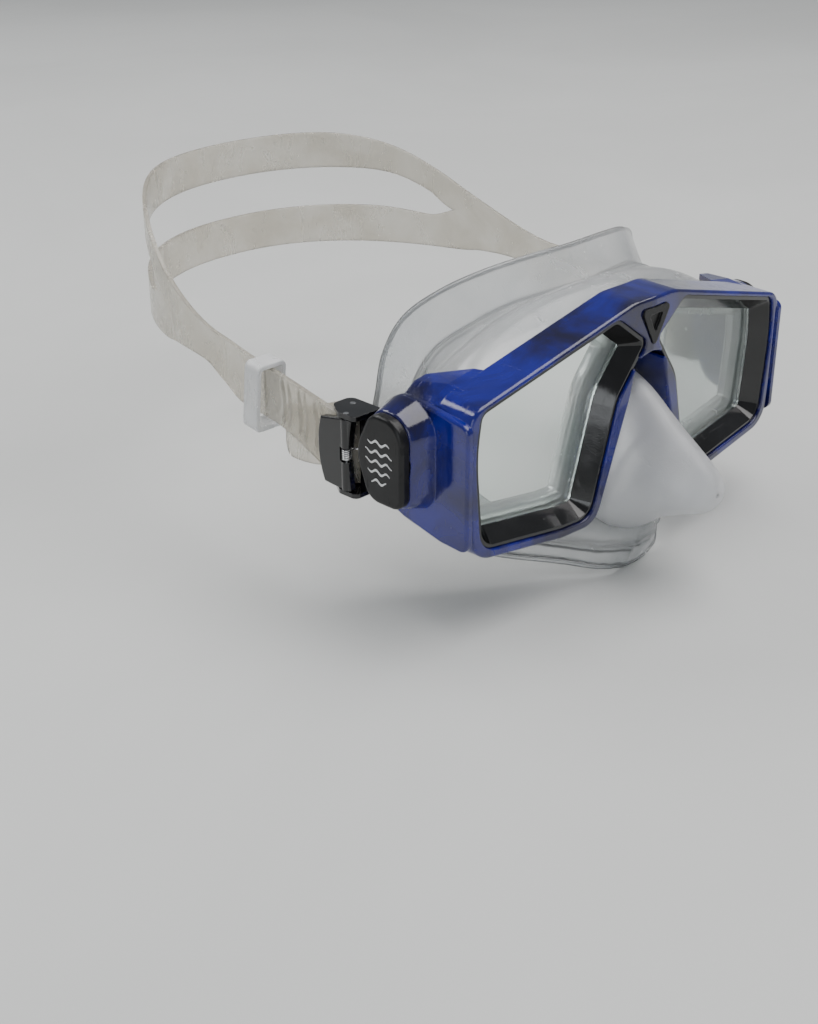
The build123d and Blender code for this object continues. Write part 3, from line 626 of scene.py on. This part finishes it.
def make_eye_collar(side, sign):
    """The silicone ring that holds a pane, with its groove and its thin inner lip."""
    section = [(1.8, 6.6), (4.2, 6.6), (4.3, 7.2), (4.3, 10.5), (5.4, 10.7), (7.4, 10.8), (8.2, 11.4),
               (8.5, 12.6), (8.6, 15.6), (8.1, 16.4), (7.4, 16.2), (7.0, 15.4), (6.4, 13.6), (4.6, 12.9),
               (2.2, 12.7), (1.8, 12.4)]
    rows = [on_window(corner_ring(WINDOW, WINDOW_R, inset), depth, sign) for inset, depth in section]
    return piece(f"eye_collar_{side}", rows, SILICONE, wrap_rows=True, wrap_columns=True)


def make_web():
    """The skirt's flat web behind the frame, open at both panes and at the nose."""
    outer = [(0, 25.4), (14, 24.6), (30, 21.0), (44, 16.8), (60, 12.8), (70, 9.4), (75, -2), (74.8, -16),
             (72.6, -29), (66, -34), (48, -38), (32, -41.2), (20, -45.5), (9, -49.2)]
    ring = outer + [(-x, z) for x, z in reversed(outer[1:])]
    nose_hole = [(0, -3.5), (5.5, -6), (8.2, -14), (11, -26), (14.6, -38), (13, -45.5), (6, -47.6)]
    hole = nose_hole + [(-x, z) for x, z in reversed(nose_hole[1:])]
    loops = [flow([(x, z, 0.0) for x, z in loop], 5, True) for loop in (ring, hole)]
    eye = corner_ring(WINDOW, WINDOW_R, 7.2)
    loops += [[Vector((sign * p.x, p.y)) for p in eye] for sign in SIDES.values()]
    curve = bpy.data.curves.new("skirt_web", "CURVE")
    curve.dimensions = "2D"
    curve.fill_mode = "BOTH"
    curve.extrude = 0.7 * MM
    curve.bevel_depth = 0.3 * MM
    curve.bevel_resolution = 1
    for loop in loops:
        spline = curve.splines.new("POLY")
        spline.points.add(len(loop) - 1)
        for point, p in zip(spline.points, loop):
            point.co = (p.x * MM, p.y * MM, 0.0, 1.0)
        spline.use_cyclic_u = True
    flat = bpy.data.objects.new("skirt_web", curve)
    bpy.context.scene.collection.objects.link(flat)
    bpy.context.view_layer.update()
    graph = bpy.context.evaluated_depsgraph_get()
    mesh = bpy.data.meshes.new_from_object(flat.evaluated_get(graph))
    bpy.data.objects.remove(flat)
    for vertex in mesh.vertices:
        x, z, off = vertex.co
        vertex.co = (x, (RIM_Y + WEB_DEPTH) * MM + off + abs(x) * tan(WRAP), z)
    mesh.materials.clear()
    mesh.materials.append(SILICONE)
    web = bpy.data.objects.new("skirt_web", mesh)
    bpy.context.scene.collection.objects.link(web)
    return web


def nose_section(y, top, low, upper_width, lower_width, points=48):
    """One section of the nose pocket: narrow above, fuller below."""
    middle = (top + low) / 2 - (top - low) * 0.08
    row = []
    for k in range(points):
        angle = 2 * pi * k / points
        s, c = sin(angle), cos(angle)
        if c >= 0:
            z = middle + (top - middle) * c
            width = lower_width + (upper_width * 0.55 - lower_width) * (1 - cos(pi * c / 2)) * 0.6
        else:
            z = middle + (middle - low) * c
            width = lower_width
        row.append(Vector((width * s * (1.0 - 0.1 * c), y, z)))
    return row


def make_nose_pocket():
    """The frosted pocket round the nose, creased on its flanks and closed at the tip."""
    rows = [nose_section(*section) for section in NOSE]
    columns = [flow([row[j] for row in rows], 5) for j in range(len(rows[0]))]
    rows = [list(row) for row in zip(*columns)]
    tip = sum(rows[-1], Vector()) / len(rows[-1]) + Vector((0.0, -0.5, 0.0))
    for share in (0.6, 0.25):
        rows.append([tip + (p - tip) * share - Vector((0, 0.25 * (1 - share), 0)) for p in rows[-1]])

    def crease(i, j):
        p = rows[i][j]
        along = p.y + 0.35 * p.z + 16.0
        flank = min(abs(p.x) / 8.0, 1.0) ** 2 * bump(p.z, -30.0, 14.0)
        folds = -0.8 * bump(along, 0.0, 1.6) + 0.5 * bump(along, 3.2, 1.5) - 0.6 * bump(along, 7.5, 1.8)
        return flank * folds + 0.3 * noise.noise(p * 0.09)

    rows = raised(rows, crease, wrap_columns=True)
    pocket = piece("nose_pocket", rows, NOSE_SILICONE, wrap_columns=True)
    return thicken(pocket, NOSE_WALL, -1.0, 0.3)


skirt_wall = make_skirt_wall()
ride(skirt_wall, "root", "clear_silicone", "skirt")
for made in (make_inner_seal(), make_web(), make_nose_pocket()):
    ride(made, "root", "clear_silicone")
for side, sign in SIDES.items():
    ride(make_eye_collar(side, sign), "root", "clear_silicone")


# ---------------------------------------------------------------- strap
def ribbon_grid(path, edges, across=14):
    """A strip that follows a plan path; edges(point) gives its lower and upper height."""
    rows = []
    for p in path:
        low, top = edges(p)
        rows.append([Vector((p.x, p.y, low + (top - low) * k / across)) for k in range(across + 1)])
    return rows


def rib_height(y, share):
    """Raised double ribs, bowed across the strap, and a bead along both edges."""
    bow = 1.6 * (1 - (2 * share - 1) ** 2)
    height = 0.28 * (bump(share, 0.0, 0.05) + bump(share, 1.0, 0.05))
    inside = 1.0 if 0.1 < share < 0.9 else 0.0
    for centre in RIBS_AT:
        for offset in (-RIB_OFFSET, RIB_OFFSET):
            height += 0.75 * inside * bump(y, centre + offset - bow, 0.6)
    return height


def tail_height(y, share):
    """Two shallow grooves across the loose tail, which is thinner along its edges."""
    if 0.1 < share < 0.9:
        return -0.35 * sum(bump(y, centre, 0.8) for centre in TAIL_GROOVES_AT)
    return -0.2


def make_strap_run(side, sign):
    """From the head strap forward, round the buckle's roller and back to the loose tail."""
    turn = [(ROLLER[0] + WRAP_R * cos(a), ROLLER[1] + WRAP_R * sin(a))
            for a in (radians(180 + 15 * k) for k in range(13))]
    plan = TAIL_PLAN + turn + LEAD_PLAN
    fine = 30
    path = flow([(x, y, 0.0) for x, y in plan], fine)
    lead_from = len(path) - fine * len(LEAD_PLAN)
    tail_to = fine * len(TAIL_PLAN)

    def edges(point):
        if point.x < ROLLER[0] and point.y > ROLLER[1]:
            return height_at(TAIL_LOW, point.y), height_at(TAIL_TOP, point.y)
        if point.y > ROLLER[1]:
            return height_at(STRAP_LOW, point.y), height_at(STRAP_TOP, point.y)
        return TAIL_LOW[0][1], TAIL_TOP[0][1]

    rows = ribbon_grid(path, edges)
    across = len(rows[0]) - 1
    normals = grid_normals(rows, False)
    shaped = []
    for i, row in enumerate(rows):
        line = []
        for k, p in enumerate(row):
            share = k / across
            lift = 0.0
            if i >= lead_from:
                lift = rib_height(p.y, share)
            elif i < tail_to:
                lift = tail_height(p.y, share)
            outward = normals[i][k] if normals[i][k].x > 0 else -normals[i][k]
            q = p + outward * lift
            line.append(Vector((sign * q.x, q.y, q.z)))
        shaped.append(line)
    run = piece(f"strap_run_{side}", shaped, STRAP_SILICONE)
    thicken(run, STRAP_THICK, 0.0, 0.35)
    settle(run)
    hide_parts("strap")
    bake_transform(run)
    return run


def head_path():
    """The strap's plan round the back of the head, from one side's join to the other's."""
    half = []
    steps = 26
    for k in range(steps + 1):
        t = pi / 2 * k / steps
        half.append((STRAP_HALF_WIDTH * max(cos(t), 0.0) ** (2 / OVAL_EXPONENT),
                     HEAD_MIDDLE + STRAP_DEPTH * sin(t) ** (2 / OVAL_EXPONENT)))
    points = [LEAD_PLAN[-1], LEAD_END] + half
    whole = points + [(-x, y) for x, y in reversed(points[:-1])]
    return flow([(x, y, 0.0) for x, y in whole], 4)


def head_rows(path, lower, upper, across):
    """A strip of the band between two edges, whose heights depend on y."""
    return [[Vector((p.x, p.y, lower(p.y) + (upper(p.y) - lower(p.y)) * k / across))
             for k in range(across + 1)] for p in path]


def make_head_strap():
    """The wide band behind the head, split into two arms over the crown of the back."""
    path = head_path()

    def opening(y, outline):
        middle = SPLIT_TOP[0][1]
        if y <= SPLIT_START:
            return None
        start = min(1.0, sqrt((y - SPLIT_START) / 9.0))
        return middle + (height_at(outline, y) - middle) * start

    def whole_middle(y):
        low, top = height_at(STRAP_LOW, y), height_at(STRAP_TOP, y)
        share = min(max((y - HEAD_JOIN) / (SPLIT_START - HEAD_JOIN), 0.0), 1.0)
        return (low + top) / 2 * (1 - share) + SPLIT_TOP[0][1] * share

    bands = []
    for outline, outer in ((SPLIT_LOW, STRAP_LOW), (SPLIT_TOP, STRAP_TOP)):
        def inner_edge(y, outline=outline):
            cut = opening(y, outline)
            return whole_middle(y) if cut is None else cut
        rows = head_rows(path, lambda y, o=outer: height_at(o, y), inner_edge, 9)
        bands.append(rows if outer is STRAP_LOW else [row[::-1] for row in rows])
    vertices, faces = [], []
    for rows in bands:
        start = len(vertices)
        columns = len(rows[0])
        vertices += [p * MM for row in rows for p in row]
        for i in range(len(rows) - 1):
            for j in range(columns - 1):
                a = start + i * columns + j
                faces.append((a, a + 1, a + columns + 1, a + columns))
    strap = mesh_piece("head_strap", vertices, faces, STRAP_SILICONE)
    weld = strap.modifiers.new("join arms", "WELD")
    weld.merge_threshold = 0.1 * MM
    thicken(strap, STRAP_THICK, 0.0, 0.35)
    return settle(strap)


ride(make_head_strap(), "root", "strap_silicone", "strap")
for side, sign in SIDES.items():
    make_strap_run(side, sign)


# ---------------------------------------------------------------- springs and printed marks
def tube(name, path, radius, material, points=10):
    """A round wire along a path in millimetres, closed at both ends."""
    up = Vector((0.31, 0.22, 0.92))
    angles = [2 * pi * j / points for j in range(points)]
    last = len(path) - 1
    vertices, faces = [], []
    for k, p in enumerate(path):
        ahead = (path[min(k + 1, last)] - path[max(k - 1, 0)]).normalized()
        across = ahead.cross(up).normalized()
        other = across.cross(ahead)
        vertices += [(p + (across * cos(a) + other * sin(a)) * radius) * MM for a in angles]
    for k in range(last):
        for j in range(points):
            a = k * points + j
            b = k * points + (j + 1) % points
            faces.append((a, b, b + points, a + points))
    faces.append(tuple(range(points)))
    faces.append(tuple(range(last * points, (last + 1) * points)))
    return mesh_piece(name, vertices, faces, material)


def make_lever_spring(side, sign):
    """A coil round the lever's pin, with one leg on the buckle and one on the lever."""
    pin = Vector(LEVER_PIN)
    turns, coil_radius, half = 5.0, 1.3, 1.7
    leg_in = [Vector((86.3, 37.1, pin.z + half)), Vector((87.4, 38.2, pin.z + half))]
    first, last = radians(225), radians(180)
    coil = []
    steps = int(turns * 20)
    for k in range(steps + 1):
        share = k / steps
        angle = first + (2 * pi * turns + last - first) * share
        along = half - 2 * half * share
        coil.append(pin + Vector((coil_radius * cos(angle), coil_radius * sin(angle), along)))
    leg_out = [Vector((87.9, 41.4, pin.z - half)), Vector((87.85, 43.0, pin.z - half))]
    path = [Vector((sign * p.x, p.y, p.z)) for p in leg_in + coil + leg_out]
    return tube(f"torsion_spring_{side}", path, 0.3, STEEL)


def make_cap_print(side, sign):
    """Plain wave strokes printed on the cap."""
    vertices, faces = [], []
    strokes = ((-13.5, 4.2), (-10.4, 6.2), (-7.3, 7.4), (-4.2, 7.4), (-1.1, 6.0))
    for z, length in strokes:
        samples = 28
        for k in range(samples + 1):
            y = CAP_MIDDLE_Y + length * (k / samples - 0.5) * 1.5
            wave = z + 0.55 * sin((y - CAP_MIDDLE_Y) * 1.45)
            thin = 0.42 * sin(pi * min(max(k / samples, 0.04), 0.96)) ** 0.4
            for edge in (-thin, thin):
                vertices.append(Vector((sign * CAP_FACE_X, y, wave + edge)) * MM)
        first = len(vertices) - 2 * (samples + 1)
        for k in range(samples):
            a = first + 2 * k
            quad = (a, a + 2, a + 3, a + 1)
            faces.append(quad if sign > 0 else tuple(reversed(quad)))
    mark = mesh_piece(f"cap_print_{side}", vertices, faces, INK)
    layer = mark.modifiers.new("ink", "SOLIDIFY")
    layer.thickness = 0.04 * MM
    layer.offset = 0.0
    return mark


for side, sign in SIDES.items():
    ride(make_lever_spring(side, sign), f"buckle_{side}", "steel", f"lever_spring_{side}")
    ride(make_cap_print(side, sign), "root", "black_satin")


# ---------------------------------------------------------------- stage
def make_floor():
    """A wide pale floor just under the mask."""
    pale = finish("pale_floor", (0.62, 0.63, 0.62), (0.66, 0.67, 0.66), tone_scale=3.0,
                  rough=(0.6, 0.7), dust=0.0, scratch=0.0)
    corners = [Vector(p) for p in ((-6, -6, 0), (6, -6, 0), (6, 6, 0), (-6, 6, 0))]
    floor = mesh_piece("floor", corners, [(0, 1, 2, 3)], pale)
    floor.location.z = CAD_BOX[0][2] - 0.0005


def soft_light(name, place, aim, size, power, colour=(1.0, 1.0, 1.0)):
    lamp = bpy.data.lights.new(name, "AREA")
    lamp.shape = "RECTANGLE"
    lamp.size, lamp.size_y = size
    lamp.energy = power
    lamp.color = colour
    holder = bpy.data.objects.new(name, lamp)
    bpy.context.scene.collection.objects.link(holder)
    holder.location = place
    holder.rotation_euler = (Vector(aim) - Vector(place)).to_track_quat("-Z", "Y").to_euler()


def make_camera():
    camera = bpy.data.cameras.new("camera")
    camera.lens = 53.53
    camera.sensor_width = 36.0
    camera.clip_start = 0.01
    holder = bpy.data.objects.new("camera", camera)
    bpy.context.scene.collection.objects.link(holder)
    turn = Matrix.Identity(4)
    for degrees, axis in ((CAMERA_HEADING, "Z"), (CAMERA_TILT, "X"), (CAMERA_ROLL, "Z")):
        turn = turn @ Matrix.Rotation(radians(degrees), 4, axis)
    holder.matrix_world = Matrix.Translation(CAMERA_PLACE) @ turn
    bpy.context.scene.camera = holder


make_floor()
make_camera()
soft_light("sky", (0.35, -0.25, 1.3), (0.0, 0.0, 0.0), (1.6, 1.3), 26.0, (1.0, 0.98, 0.97))
soft_light("back_sky", (-0.3, 1.1, 0.9), (0.0, 0.05, 0.0), (1.0, 0.5), 8.0)
soft_light("window", (-1.1, -0.5, 0.35), (0.0, 0.0, 0.0), (0.5, 0.7), 3.0, (0.93, 0.97, 1.0))
world = bpy.data.worlds.new("studio")
bpy.context.scene.world = world
world.use_nodes = True
world.node_tree.nodes["Background"].inputs["Color"].default_value = (0.82, 0.86, 0.9, 1.0)
world.node_tree.nodes["Background"].inputs["Strength"].default_value = 0.3
